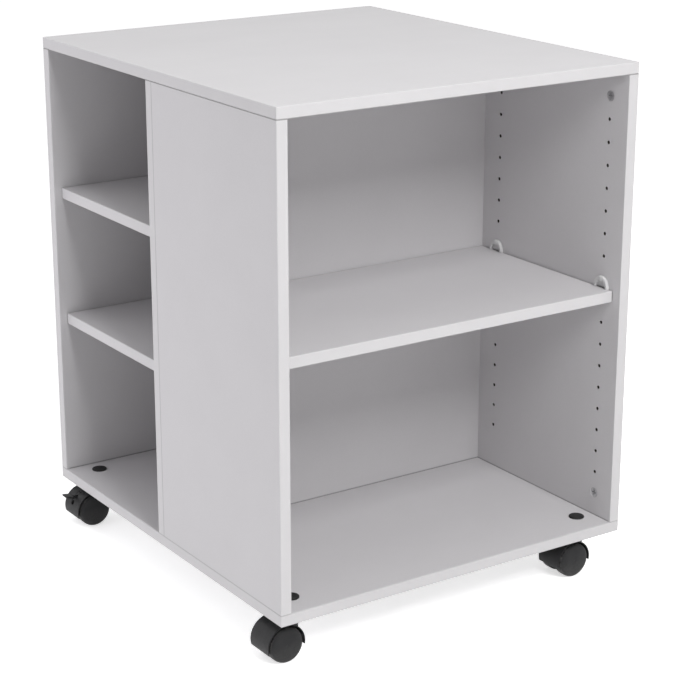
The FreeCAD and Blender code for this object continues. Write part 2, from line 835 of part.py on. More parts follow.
def wheel(name):
    """A cup-shaped wheel with a domed closed face, open towards the web."""
    body = turned(name, (
        ("axle_radius + axle_fit", "hub_inner"),
        ("wheel_hub_radius", "hub_inner"),
        ("wheel_hub_radius", "wheel_shoulder - wheel_wall"),
        ("wheel_radius - wheel_rim", "wheel_shoulder - wheel_wall"),
        ("wheel_radius - wheel_rim", "wheel_inner"),
        ("wheel_radius", "wheel_inner"),
        ("wheel_radius", "wheel_shoulder"),
        ("0", "wheel_face"),
        ("0", "axle_half + axle_fit"),
        ("axle_radius + axle_fit", "axle_half + axle_fit"),
    ), domed=6)
    tread = size("wheel_radius")
    shoulder = size("wheel_shoulder")
    return rounded(body, "wheel_round", lambda edge: (
        edge.BoundBox.XMax > tread - size("axle_fit")
        and abs(edge.BoundBox.ZMin - shoulder) < size("axle_fit")
    ))


def brake_lever(name):
    """A pedal on an arm, and a shoe below the pivot that meets both wheel hubs when pressed."""
    arm_half = "lever_thickness / 2"
    reach = "pedal_start + pedal_length"
    eye = rod(f"{name}_eye", "lever_eye_radius", "lever_thickness", ("0", f"-{arm_half}", "0"), "y")
    arm = block(
        f"{name}_arm",
        ("-pedal_start - pedal_gap", f"-{arm_half}", "-lever_arm_height / 2"),
        ("0", arm_half, "lever_arm_height / 2"),
    )
    pedal = doc.addObject("PartDesign::Body", f"{name}_pedal")
    plate = pedal.newObject("PartDesign::AdditiveBox", f"{name}_plate")
    bind(plate, Length="pedal_length", Width="pedal_width", Height="pedal_height")
    doc.recompute()
    rounded(pedal, "pedal_round", lambda edge: True)
    place(pedal, (f"-({reach})", "-pedal_width / 2", "-lever_arm_height / 2"))
    raised = fuse(f"{name}_raised", [arm, pedal])
    raised.Placement = Placement(Vector(), Rotation(REAR, size("pedal_lift_angle")))
    shoe_arm = block(
        f"{name}_shoe_arm",
        ("-lever_arm_height / 2", f"-{arm_half}", "-shoe_arm_length"),
        ("lever_arm_height / 2", arm_half, "0"),
    )
    shoe = rod(f"{name}_shoe", "shoe_radius", "2 * shoe_half", ("0", "-shoe_half", "-shoe_arm_length"), "y")
    lowered = fuse(f"{name}_lowered", [shoe_arm, shoe])
    lowered.Placement = Placement(Vector(), Rotation(REAR, size("shoe_arm_angle")))
    return cut(name, fuse(f"{name}_body", [eye, raised, lowered]), [
        rod(
            f"{name}_pivot_hole", "pivot_radius + pivot_fit", "lever_thickness + 2 * overrun",
            ("0", f"-{arm_half} - overrun", "0"), "y",
        ),
    ])


for corner, (x, y, turn) in CASTERS.items():
    facing = Rotation(UP, turn)
    ahead = 1 if turn == 0 else -1
    axle_x = f"{x} - {ahead} * trail"
    node(f"{corner}_housing", place(housing(corner, corner in BRAKED), (x, y, "0"), facing))
    axle = rod(
        f"{corner}_axle", "axle_radius", "2 * axle_half", (axle_x, f"{y} - axle_half", "wheel_radius"), "y",
    )
    node(f"{corner}_axle", axle)
    for side, outward in (("fore", FRONT), ("aft", REAR)):
        label = f"{corner}_{side}_wheel"
        node(label, place(wheel(label), (axle_x, y, "wheel_radius"), Rotation(UP, outward)))
    if corner in BRAKED:
        spot = (f"{x} + {ahead} * (pivot_along)", y, "pivot_level")
        node(f"{corner}_brake_lever", place(brake_lever(f"{corner}_brake_lever"), spot, facing))
        pin = rod(
            f"{corner}_lever_pin", "pivot_radius", "2 * web_half",
            (spot[0], f"{y} - web_half", "pivot_level"), "y",
        )
        node(f"{corner}_lever_pin", pin)

doc.recompute()
for item in doc.Objects:
    if "Invalid" in item.State or "Error" in item.State:
        raise RuntimeError(f"{item.Name} failed: {item.State}")
for item in nodes:
    if item.Shape.isNull() or not item.Shape.isValid():
        raise RuntimeError(f"{item.Label} has no valid shape")

os.makedirs("parts", exist_ok=True)
for item in nodes:
    item.Shape.exportStep(f"parts/{item.Label}.step")
    box = item.Shape.BoundBox
    print(
        f"{item.Label}: {len(item.Shape.Solids)} solids, {item.Shape.Volume:.0f} mm3, "
        f"x {box.XMin:.1f} to {box.XMax:.1f}, y {box.YMin:.1f} to {box.YMax:.1f}, "
        f"z {box.ZMin:.1f} to {box.ZMax:.1f}"
    )
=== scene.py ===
import json
import math

import bmesh
import bpy
import numpy as np
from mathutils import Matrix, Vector


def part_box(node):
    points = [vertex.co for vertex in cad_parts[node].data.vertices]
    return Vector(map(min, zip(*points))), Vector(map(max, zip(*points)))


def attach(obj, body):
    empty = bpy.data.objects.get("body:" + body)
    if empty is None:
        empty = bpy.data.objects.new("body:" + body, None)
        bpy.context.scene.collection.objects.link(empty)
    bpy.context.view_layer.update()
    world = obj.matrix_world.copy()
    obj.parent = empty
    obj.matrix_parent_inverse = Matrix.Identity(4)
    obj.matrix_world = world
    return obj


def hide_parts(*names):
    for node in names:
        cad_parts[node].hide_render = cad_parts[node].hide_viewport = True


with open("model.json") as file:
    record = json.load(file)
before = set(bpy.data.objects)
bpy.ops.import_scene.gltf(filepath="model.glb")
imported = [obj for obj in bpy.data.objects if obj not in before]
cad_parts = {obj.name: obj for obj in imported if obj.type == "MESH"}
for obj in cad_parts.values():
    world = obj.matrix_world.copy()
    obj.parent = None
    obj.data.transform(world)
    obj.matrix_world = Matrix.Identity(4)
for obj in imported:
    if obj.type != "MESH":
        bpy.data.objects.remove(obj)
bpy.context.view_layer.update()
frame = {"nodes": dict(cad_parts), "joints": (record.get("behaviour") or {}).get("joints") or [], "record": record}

# A light grey mobile cabinet of melamine boards on dark twin-wheel casters. Lengths are in metres.

MM = 0.001
ROOT = "root"

CORNERS = ("front_left", "front_right", "rear_left", "rear_right")
BRAKED = ("rear_left", "rear_right")
SIDES = {"fore": -1.0, "aft": 1.0}

# Finishes: linear colours, and levels of gloss
BOARD_LIGHT = (0.632, 0.620, 0.633)
BOARD_DARK = (0.612, 0.600, 0.613)
EDGING_LIGHT = (0.637, 0.626, 0.636)
EDGING_DARK = (0.619, 0.608, 0.619)
ZINC_LIGHT = (0.64, 0.64, 0.65)
ZINC_DARK = (0.42, 0.42, 0.43)
STEEL_LIGHT = (0.66, 0.66, 0.67)
STEEL_DARK = (0.50, 0.50, 0.52)
BEECH_LIGHT = (0.66, 0.47, 0.29)
BEECH_DARK = (0.50, 0.33, 0.18)
SUPPORT_LIGHT = (0.68, 0.68, 0.68)
SUPPORT_DARK = (0.58, 0.58, 0.585)
CAP_LIGHT = (0.022, 0.022, 0.022)
CAP_DARK = (0.012, 0.012, 0.012)
HOOD_LIGHT = (0.023, 0.023, 0.024)
HOOD_DARK = (0.017, 0.017, 0.018)
WHEEL_LIGHT = (0.020, 0.020, 0.021)
WHEEL_DARK = (0.015, 0.015, 0.016)
FLOOR_DUST = (0.30, 0.29, 0.28)
# The colour of the painted shade along the joints between boards
SEAM_SHADE = (0.10, 0.10, 0.10)
# Raw board inside the holes, darkened further as painted shade
SHADED_CHIP_LIGHT = (0.060, 0.050, 0.040)
SHADED_CHIP_DARK = (0.020, 0.017, 0.014)
MELAMINE_GLOSS = 0.28
MOULDED_GLOSS = 0.2

# Painted seam shade, standing in for the shadow in the joints between boards: how dark it is, how dark the lower
# and side shades are beside the upper, and how much wider they get on inner faces, which lie within two distances
# of the middle
PAINTED_SEAM_DEPTH = 0.85
LOWER_SEAM_SHADE = 0.65
SIDE_SEAM_SHADE = 0.55
INNER_REACH = 1.0 * MM
INNER_WIDE = 0.280
INNER_DEEP = 0.312


# Shader groups

def new_group(name, inputs, outputs):
    """An empty node group with float inputs (name: default) and named outputs (name: kind)."""
    group = bpy.data.node_groups.new(name, "ShaderNodeTree")
    for label, default in inputs.items():
        socket = group.interface.new_socket(label, in_out="INPUT", socket_type="NodeSocketFloat")
        socket.default_value = default
    for label, kind in outputs.items():
        group.interface.new_socket(label, in_out="OUTPUT", socket_type=kind)
    entry = group.nodes.new("NodeGroupInput")
    leave = group.nodes.new("NodeGroupOutput")
    return group, entry, leave


def add_node(tree, kind, links=None, **settings):
    """A node with its settings, and with its inputs linked or set from a dict."""
    made = tree.nodes.new(kind)
    for label, value in settings.items():
        setattr(made, label, value)
    for label, value in (links or {}).items():
        if isinstance(value, bpy.types.NodeSocket):
            tree.links.new(value, made.inputs[label])
        else:
            made.inputs[label].default_value = value
    return made


def math_node(tree, operation, first, second=0.0, clamp=False):
    """A Math node's result. An operation with one input leaves the second unused."""
    made = add_node(tree, "ShaderNodeMath", {0: first, 1: second}, operation=operation, use_clamp=clamp)
    return made.outputs[0]


def object_place(tree):
    """The object coordinate socket."""
    return add_node(tree, "ShaderNodeTexCoord").outputs["Object"]


def noise(tree, place, scale, detail=2.0, roughness=0.5):
    """A noise texture's value, with scale in cycles per metre."""
    texture = add_node(tree, "ShaderNodeTexNoise", {
        "Vector": place, "Scale": scale, "Detail": detail, "Roughness": roughness,
    })
    return texture.outputs["Fac"]


def pearl_grain_group():
    """The printed pearl surface of melamine: fine bumps, a cloudy tint and faint wipe marks."""
    group, entry, leave = new_group(
        "pearl_grain", {"Grain": 1800.0, "Cloud": 9.0},
        {"Height": "NodeSocketFloat", "Tint": "NodeSocketFloat", "Wipe": "NodeSocketFloat"},
    )
    place = object_place(group)
    fine = noise(group, place, entry.outputs["Grain"], 3.0, 0.62)
    cloud = noise(group, place, entry.outputs["Cloud"], 4.0, 0.55)
    speck = noise(group, place, math_node(group, "MULTIPLY", entry.outputs["Grain"], 0.45), 1.0)
    clouded = math_node(group, "MULTIPLY", cloud, 0.55)
    tint = math_node(group, "ADD", clouded, math_node(group, "MULTIPLY", speck, 0.45))
    smear = add_node(group, "ShaderNodeMapping", {
        "Vector": place, "Scale": (3.0, 11.0, 5.0), "Rotation": (0.3, 0.5, 0.7),
    })
    wipe = noise(group, smear.outputs["Vector"], 1.6, 5.0, 0.6)
    group.links.new(fine, leave.inputs["Height"])
    group.links.new(tint, leave.inputs["Tint"])
    group.links.new(wipe, leave.inputs["Wipe"])
    return group


def moulded_skin_group():
    """The skin of moulded plastic: a fine eroded texture, flow clouds and rubbed patches."""
    group, entry, leave = new_group(
        "moulded_skin", {"Grain": 2600.0, "Cloud": 60.0},
        {"Height": "NodeSocketFloat", "Tint": "NodeSocketFloat", "Rub": "NodeSocketFloat"},
    )
    place = object_place(group)
    cells = add_node(group, "ShaderNodeTexVoronoi", {"Vector": place, "Scale": entry.outputs["Grain"]})
    fine = noise(group, place, entry.outputs["Grain"], 2.0)
    height = math_node(group, "ADD", math_node(group, "MULTIPLY", cells.outputs["Distance"], 0.5), fine)
    group.links.new(height, leave.inputs["Height"])
    group.links.new(noise(group, place, entry.outputs["Cloud"], 4.0), leave.inputs["Tint"])
    rub = noise(group, place, math_node(group, "MULTIPLY", entry.outputs["Cloud"], 2.7), 6.0, 0.7)
    group.links.new(rub, leave.inputs["Rub"])
    return group


def floor_dust_group():
    """Dust that gathers near the floor: a mask that fades with height and breaks up in specks."""
    group, entry, leave = new_group("floor_dust", {"Reach": 0.03, "Amount": 0.3}, {"Dust": "NodeSocketFloat"})
    place = object_place(group)
    height = add_node(group, "ShaderNodeSeparateXYZ", {"Vector": place}).outputs["Z"]
    low = math_node(group, "SUBTRACT", 1.0, math_node(group, "DIVIDE", height, entry.outputs["Reach"]), True)
    specks = math_node(group, "POWER", noise(group, place, 420.0, 6.0, 0.75), 2.0)
    speckled = math_node(group, "MULTIPLY", low, specks)
    dust = math_node(group, "MULTIPLY", speckled, entry.outputs["Amount"], True)
    group.links.new(dust, leave.inputs["Dust"])
    return group


def drawn_metal_group():
    """Drawn or cast metal: fine streaks along one axis and a cloudy dulling."""
    group, entry, leave = new_group(
        "drawn_metal", {"Streak": 900.0, "Cloud": 70.0},
        {"Height": "NodeSocketFloat", "Dull": "NodeSocketFloat"},
    )
    place = object_place(group)
    along = add_node(group, "ShaderNodeMapping", {"Vector": place, "Scale": (1.0, 1.0, 0.06)})
    streaks = noise(group, along.outputs["Vector"], entry.outputs["Streak"], 3.0)
    group.links.new(streaks, leave.inputs["Height"])
    group.links.new(noise(group, place, entry.outputs["Cloud"], 4.0), leave.inputs["Dull"])
    return group


def painted_joint_shade_group():
    """Painted shade in the joints where the uprights meet the top and bottom panels, and the left side the
    partition.

    On the bays' inner faces it is wider, and the lower one is darker."""
    group, entry, leave = new_group(
        "painted_joint_shade", {"Lower": 0.080, "Upper": 0.724, "Behind": -0.007, "Left": -0.280, "Reach": 0.0012},
        {"Shade": "NodeSocketFloat"},
    )
    place = add_node(group, "ShaderNodeSeparateXYZ", {"Vector": object_place(group)}).outputs
    facing = add_node(group, "ShaderNodeTexCoord").outputs["Normal"]
    lean = add_node(group, "ShaderNodeSeparateXYZ", {"Vector": facing}).outputs["Z"]
    upright = math_node(group, "SUBTRACT", 1.0, math_node(group, "ABSOLUTE", lean), True)
    across = math_node(group, "LESS_THAN", math_node(group, "ABSOLUTE", place["X"]), INNER_WIDE)
    deep = math_node(group, "LESS_THAN", math_node(group, "ABSOLUTE", place["Y"]), INNER_DEEP)
    inside = math_node(group, "MULTIPLY", across, deep)
    reach = math_node(group, "ADD", entry.outputs["Reach"], math_node(group, "MULTIPLY", inside, INNER_REACH))

    def band(axis, level):
        """1 on a level, falling to 0 at the reach on both sides of it."""
        offset = math_node(group, "SUBTRACT", place[axis], entry.outputs[level])
        share = math_node(group, "DIVIDE", math_node(group, "ABSOLUTE", offset), reach)
        return math_node(group, "SUBTRACT", 1.0, share, True)

    gain = math_node(group, "MULTIPLY", inside, 1.0 - LOWER_SEAM_SHADE)
    lower = math_node(group, "MULTIPLY", band("Z", "Lower"), math_node(group, "ADD", gain, LOWER_SEAM_SHADE))
    across_seams = math_node(group, "MAXIMUM", lower, band("Z", "Upper"))
    level_seams = math_node(group, "MULTIPLY", across_seams, upright)
    outer = math_node(group, "LESS_THAN", place["X"], entry.outputs["Left"])
    above = math_node(group, "GREATER_THAN", place["Z"], entry.outputs["Lower"])
    below = math_node(group, "LESS_THAN", place["Z"], entry.outputs["Upper"])
    span = math_node(group, "MULTIPLY", outer, math_node(group, "MULTIPLY", above, below))
    side_seam = math_node(group, "MULTIPLY", band("Y", "Behind"), SIDE_SEAM_SHADE)
    upright_seam = math_node(group, "MULTIPLY", side_seam, span)
    group.links.new(math_node(group, "MAXIMUM", level_seams, upright_seam), leave.inputs["Shade"])
    return group


PEARL_GRAIN = pearl_grain_group()
PAINTED_JOINT_SHADE = painted_joint_shade_group()
MOULDED_SKIN = moulded_skin_group()
FLOOR_DUST_FADE = floor_dust_group()
DRAWN_METAL = drawn_metal_group()


# Materials

def new_material(name):
    """An empty Principled material and its tree."""
    material = bpy.data.materials.new(name)
    material.use_nodes = True
    tree = material.node_tree
    return material, tree, tree.nodes["Principled BSDF"]


def use_group(tree, group, **values):
    """A placed shader group with its own values."""
    placed = tree.nodes.new("ShaderNodeGroup")
    placed.node_tree = group
    for label, value in values.items():
        placed.inputs[label].default_value = value
    return placed


def blend_colours(tree, factor, first, second):
    """A colour mixed by a mask. The Mix node takes colours at inputs 6 and 7 and gives one at output 2."""
    mix = add_node(tree, "ShaderNodeMix", data_type="RGBA")
    for slot, value in ((0, factor), (6, first), (7, second)):
        if isinstance(value, bpy.types.NodeSocket):
            tree.links.new(value, mix.inputs[slot])
        else:
            mix.inputs[slot].default_value = (*value, 1.0) if slot else value
    return mix.outputs[2]


def ramp(tree, value, low, high):
    """A value stretched so that low gives 0 and high gives 1."""
    mapped = add_node(tree, "ShaderNodeMapRange", {"Value": value, "From Min": low, "From Max": high})
    return mapped.outputs["Result"]


def spread(tree, value, low, high):
    """A mask turned into a range of values."""
    mapped = add_node(tree, "ShaderNodeMapRange", {"Value": value, "To Min": low, "To Max": high})
    return mapped.outputs["Result"]


def raise_grain(tree, shader, height, depth, strength):
    """Bump from a height, with its depth in metres."""
    bump = add_node(tree, "ShaderNodeBump", {"Height": height, "Distance": depth, "Strength": strength})
    tree.links.new(bump.outputs["Normal"], shader.inputs["Normal"])


def melamine(name, light, dark, grain, depth, sheen):
    """Melamine board or its edging: cloudy grey with a fine pearl grain and painted shade along the joints. Sheen
    is a range of roughness.
    """
    material, tree, shader = new_material(name)
    pearl = use_group(tree, PEARL_GRAIN, Grain=grain)
    tint = ramp(tree, pearl.outputs["Tint"], 0.36, 0.64)
    # Painted shade along the joints between boards, wider and darker on the bays' inner faces
    painted_seam_shade = math_node(tree, "MULTIPLY", use_group(tree, PAINTED_JOINT_SHADE).outputs["Shade"], PAINTED_SEAM_DEPTH)
    colour = blend_colours(tree, painted_seam_shade, blend_colours(tree, tint, dark, light), SEAM_SHADE)
    tree.links.new(colour, shader.inputs["Base Color"])
    rough = spread(tree, ramp(tree, pearl.outputs["Wipe"], 0.3, 0.7), *sheen)
    tree.links.new(rough, shader.inputs["Roughness"])
    raise_grain(tree, shader, pearl.outputs["Height"], depth, 0.5)
    shader.inputs["Specular IOR Level"].default_value = MELAMINE_GLOSS
    return material


def moulded(name, light, dark, grain, depth, sheen, dust=0.0, tread=False):
    """Moulded plastic with an eroded skin, rubbed patches and dust near the floor."""
    material, tree, shader = new_material(name)
    skin = use_group(tree, MOULDED_SKIN, Grain=grain)
    colour = blend_colours(tree, ramp(tree, skin.outputs["Tint"], 0.35, 0.65), dark, light)
    if dust:
        layer = use_group(tree, FLOOR_DUST_FADE, Amount=dust)
        colour = blend_colours(tree, layer.outputs["Dust"], colour, FLOOR_DUST)
    rough = spread(tree, ramp(tree, skin.outputs["Rub"], 0.3, 0.7), *sheen)
    if tread:
        worn = add_node(tree, "ShaderNodeAttribute", attribute_name="tread").outputs["Fac"]
        scuffed = math_node(tree, "MULTIPLY", worn, ramp(tree, skin.outputs["Rub"], 0.4, 0.75))
        colour = blend_colours(tree, math_node(tree, "MULTIPLY", scuffed, 0.35), colour, FLOOR_DUST)
        rough = math_node(tree, "ADD", rough, math_node(tree, "MULTIPLY", scuffed, 0.3), True)
    tree.links.new(colour, shader.inputs["Base Color"])
    tree.links.new(rough, shader.inputs["Roughness"])
    raise_grain(tree, shader, skin.outputs["Height"], depth, 0.6)
    shader.inputs["Specular IOR Level"].default_value = MOULDED_GLOSS
    return material


def metal(name, light, dark, streak, sheen):
    """Plated or cast metal with fine streaks."""
    material, tree, shader = new_material(name)
    drawn = use_group(tree, DRAWN_METAL, Streak=streak)
    dull = ramp(tree, drawn.outputs["Dull"], 0.3, 0.7)
    tree.links.new(blend_colours(tree, dull, light, dark), shader.inputs["Base Color"])
    tree.links.new(spread(tree, dull, *sheen), shader.inputs["Roughness"])
    raise_grain(tree, shader, drawn.outputs["Height"], 0.02 * MM, 0.4)
    shader.inputs["Metallic"].default_value = 1.0
    return material


def beech_wood(name):
    """Beech with short flecks along the grain."""
    material, tree, shader = new_material(name)
    place = object_place(tree)
    along = add_node(tree, "ShaderNodeMapping", {"Vector": place, "Scale": (1.0, 1.0, 0.08)})
    fleck = ramp(tree, noise(tree, along.outputs["Vector"], 1400.0, 4.0), 0.35, 0.65)
    tree.links.new(blend_colours(tree, fleck, BEECH_DARK, BEECH_LIGHT), shader.inputs["Base Color"])
    tree.links.new(spread(tree, fleck, 0.75, 0.55), shader.inputs["Roughness"])
    raise_grain(tree, shader, fleck, 0.05 * MM, 0.5)
    return material


def chipboard_and_shade(name):
    """The raw board inside a drilled hole: coarse chips, made darker than raw board as painted shade for the deep
    hole.
    """
    material, tree, shader = new_material(name)
    chips = ramp(tree, noise(tree, object_place(tree), 900.0, 5.0, 0.7), 0.3, 0.7)
    tree.links.new(blend_colours(tree, chips, SHADED_CHIP_DARK, SHADED_CHIP_LIGHT), shader.inputs["Base Color"])
    tree.links.new(spread(tree, chips, 0.95, 0.80), shader.inputs["Roughness"])
    raise_grain(tree, shader, chips, 0.10 * MM, 0.6)
    return material


DRILLED_CHIPS_AND_SHADE = chipboard_and_shade("drilled_chips_and_shade")
FINISHES = {
    "board": melamine(
        "melamine_board", BOARD_LIGHT, BOARD_DARK, grain=1500.0, depth=0.05 * MM, sheen=(0.44, 0.49),
    ),
    "edging": melamine(
        "moulded_edging", EDGING_LIGHT, EDGING_DARK, grain=2600.0, depth=0.02 * MM, sheen=(0.37, 0.41),
    ),
    "zinc": metal("cast_zinc", ZINC_LIGHT, ZINC_DARK, streak=500.0, sheen=(0.38, 0.55)),
    "steel": metal("plated_steel", STEEL_LIGHT, STEEL_DARK, streak=900.0, sheen=(0.24, 0.40)),
    "beech": beech_wood("beech_dowel"),
    "support_plastic": moulded(
        "white_support", SUPPORT_LIGHT, SUPPORT_DARK, grain=3200.0, depth=0.02 * MM, sheen=(0.35, 0.5),
    ),
    "cap_plastic": moulded(
        "black_cap", CAP_LIGHT, CAP_DARK, grain=2600.0, depth=0.03 * MM, sheen=(0.35, 0.5),
    ),
    "caster_plastic": moulded(
        "caster_nylon", HOOD_LIGHT, HOOD_DARK, grain=2200.0, depth=0.03 * MM, sheen=(0.42, 0.58), dust=0.25,
    ),
    "wheel_plastic": moulded(
        "wheel_nylon", WHEEL_LIGHT, WHEEL_DARK, grain=2400.0, depth=0.025 * MM, sheen=(0.40, 0.55),
        dust=0.35, tread=True,
    ),
}
for part in frame["record"]["subparts"]:
    item = frame["nodes"][part["node"]]
    item.data.materials.clear()
    item.data.materials.append(FINISHES[part["material_slot"]])


# Surfaces

def grid_faces(rows, columns, loop_rows=False, loop_columns=False):
    """The quads of a grid, each made of a point, its neighbour along the row and the two below."""
    row = np.arange(rows if loop_rows else rows - 1)
    column = np.arange(columns if loop_columns else columns - 1)
    upper, left = np.meshgrid(row, column, indexing="ij")
    lower, right = (upper + 1) % rows, (left + 1) % columns
    above, below = upper * columns, lower * columns
    corners = (above + left, above + right, below + right, below + left)
    return np.stack([corner.ravel() for corner in corners], axis=1)


def make_piece(name, points, faces, body, slot, nodes, crease=35.0):
    """A mesh object from rows of points and a list of faces, in place of the named nodes.

    Points at one spot, as at a pole, are merged."""
    mesh = bpy.data.meshes.new(name)
    mesh.from_pydata(np.reshape(points, (-1, 3)).tolist(), [], [list(face) for face in faces])
    joined = bmesh.new()
    joined.from_mesh(mesh)
    bmesh.ops.remove_doubles(joined, verts=joined.verts, dist=0.001 * MM)
    joined.to_mesh(mesh)
    joined.free()
    mesh.polygons.foreach_set("use_smooth", np.full(len(mesh.polygons), True))
    mesh.set_sharp_from_angle(angle=math.radians(crease))
    mesh.materials.append(FINISHES[slot])
    piece = bpy.data.objects.new(name, mesh)
    bpy.context.scene.collection.objects.link(piece)
    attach(piece, body)
    if nodes:
        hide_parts(*nodes)
    return piece


def soften(piece, width, segments=3):
    """Rounds a piece's sharp edges."""
    bevel = piece.modifiers.new("rounded_edges", "BEVEL")
    bevel.width = width
    bevel.segments = segments
    bevel.limit_method = "ANGLE"
    bevel.angle_limit = math.radians(50.0)


def rounded_path(corners, steps=6):
    """A path through corners of (x, y, radius), each replaced by a curve that leaves and meets its legs.

    Each curve is a quadratic bend between points a radius away from the corner along both legs."""
    spots = np.array([corner[:2] for corner in corners], dtype=float)
    reach = np.array([corner[2] for corner in corners], dtype=float)
    before = spots - np.roll(spots, 1, axis=0)
    after = np.roll(spots, -1, axis=0) - spots
    before /= np.maximum(np.linalg.norm(before, axis=1, keepdims=True), 1e-9)
    after /= np.maximum(np.linalg.norm(after, axis=1, keepdims=True), 1e-9)
    bend = np.linspace(0.0, 1.0, steps)
    path = []
    for spot, radius, enter, leave in zip(spots, reach, before, after):
        if radius == 0.0:
            path.append(spot[None, :])
            continue
        start, end = spot - enter * radius, spot + leave * radius
        share = bend[:, None]
        path.append((1 - share) ** 2 * start + 2 * share * (1 - share) * spot + share ** 2 * end)
    return np.concatenate(path)


def caster_spot(corner):
    """The axle's middle, and +1 or -1 for a caster that trails towards -X or +X."""
    low, high = (np.array(end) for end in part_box(f"{corner}_axle"))
    swivel = next(joint for joint in frame["joints"] if joint["name"] == f"{corner}_caster_swivel")
    middle = (low + high) / 2
    return middle, math.copysign(1.0, swivel["pos_m"][0] - middle[0])


def on_caster(corner, points):
    """Points given in millimetres from the axle's middle, with +X ahead, turned and moved to a caster."""
    middle, ahead = caster_spot(corner)
    return points * MM * np.array([ahead, ahead, 1.0]) + middle


def revolved(profile, turns):
    """A grid of points: a profile of (radius, height) rows turned about the height axis."""
    angle = np.linspace(0.0, 2 * np.pi, turns, endpoint=False)
    radius, height = profile[:, :1], profile[:, 1:]
    across, up = radius * np.cos(angle), radius * np.sin(angle)
    return np.stack([across, up, np.broadcast_to(height, across.shape)], axis=2)


def slab(outline, low, high):
    """A flat slab: a closed outline of (x, z) points drawn out from low to high along Y, with end caps.

    The outline is taken clockwise, so that the faces point outwards."""
    x, z = outline[:, 0], outline[:, 1]
    if np.sum(x * np.roll(z, -1) - np.roll(x, -1) * z) > 0.0:
        outline = outline[::-1]
    count = len(outline)
    rows = [np.stack([outline[:, 0], np.full(count, level), outline[:, 1]], axis=1) for level in (low, high)]
    faces = grid_faces(2, count, loop_columns=True).tolist()
    faces.append(list(range(count))[::-1])
    faces.append(list(range(count, 2 * count)))
    return np.stack(rows), faces


def copies(points, faces, spots):
    """One shape set at several spots of (x, y, z, turn), where a turn of -1 is half a turn about Z."""
    flat, places = np.reshape(points, (-1, 3)), np.array(spots)
    turns = np.stack([places[:, 3], places[:, 3], np.ones(len(places))], axis=1)
    stacked = flat * turns[:, None] + places[:, None, :3]
    shifted = [np.add(face, len(flat) * copy) for copy in range(len(places)) for face in faces]
    return stacked, shifted


# Wheels, in millimetres from the axle's middle. Profile corners are (radius, place along the axis, bend).

WHEEL_RADIUS = 25.0
WHEEL_TURNS = 112
WHEEL_CREASE = 28.0
TREAD_DEPTH = 1.6
TREAD_END = 23.0
WHEEL_PROFILE = (
    (0.0, 20.0, 0.0), (3.05, 20.0, 0.0), (3.05, 7.85, 0.3), (8.6, 7.85, 0.5),
    (8.6, 20.7, 0.8), (21.5, 20.7, 0.8), (21.5, 8.55, 0.5), (24.8, 8.55, 0.8),
    (25.0, 12.0, 0.0), (25.0, 16.0, 0.0), (25.0, 23.55, 4.9), (15.0, 24.55, 3.0),
    (8.0, 24.92, 3.0), (2.2, 25.03, 0.6), (1.8, 24.85, 0.2), (0.0, 24.85, 0.0),
)


def wheel_piece(corner, side):
    """A cup wheel: one profile turned about the axle, with a domed face and a soft shoulder."""
    profile = rounded_path(WHEEL_PROFILE)
    profile[:, 0] = np.clip(profile[:, 0], 0.0, WHEEL_RADIUS)
    grid = revolved(profile, WHEEL_TURNS)
    outward = SIDES[side]
    points = np.stack([grid[..., 0], grid[..., 2] * outward, grid[..., 1] * -outward], axis=2)
    name = f"{corner}_{side}_wheel"
    middle, _ = caster_spot(corner)
    faces = grid_faces(*grid.shape[:2], loop_columns=True)
    piece = make_piece(
        f"{name}_moulding", points * MM + middle, faces, f"{name}_body", "wheel_plastic", [name],
        WHEEL_CREASE,
    )
    spots = np.empty(len(piece.data.vertices) * 3, dtype=np.float32)
    piece.data.vertices.foreach_get("co", spots)
    across, aside, up = ((spots.reshape(-1, 3) - middle) / MM).T
    tread = (np.hypot(across, up) > WHEEL_RADIUS - TREAD_DEPTH) & (np.abs(aside) < TREAD_END)
    mark = piece.data.attributes.new("tread", "FLOAT", "POINT")
    mark.data.foreach_set("value", tread.astype(np.float32))


# Housings, in millimetres from the axle's middle. Angles are degrees from straight ahead, over the top.

HOOD_RADIUS = 28.05
HOOD_WALL = 1.4
HOOD_HALF = 22.3
HOOD_START = -10.0
HOOD_END = 198.0
HOOD_GRID = (106, 31)
HOOD_APART = (1.2, 0.9)
HOOD_ROUND = 0.55 * MM
EDGE_ROUND = 0.4 * MM
STEM_ROOM = 9.5
WEB_HALF = 7.55
SLOT_HALF = 3.4
SLOT_ANGLES = (115.9, 163.3)
SLOT_END = -5.4
SLOT_TOP = 25.1
BOSS_RADIUS = 7.0
SWIVEL_AHEAD = 21.0
SOCKET_TURNS = 72
SOCKET_PROFILE = (
    (8.0, 0.0, 0.0), (9.6, 20.0, 0.0), (9.4, 25.6, 1.2), (8.05, 28.5, 1.5),
    (8.05, 32.0, 0.2), (7.7, 32.3, 0.1), (7.7, 32.9, 0.1), (8.05, 33.2, 0.2),
    (8.05, 35.6, 0.4), (7.3, 36.5, 0.5), (5.05, 36.5, 0.4), (5.05, 0.0, 0.0),
)


def spaced(start, end, count, marks, apart):
    """Even steps from start to end with the marks among them, and no step nearer to a mark than apart."""
    steps, marks = np.linspace(start, end, count), np.array([start, *marks, end])
    clear = np.abs(steps[:, None] - marks).min(axis=1) > apart
    return np.unique(np.concatenate([steps[clear], marks]))


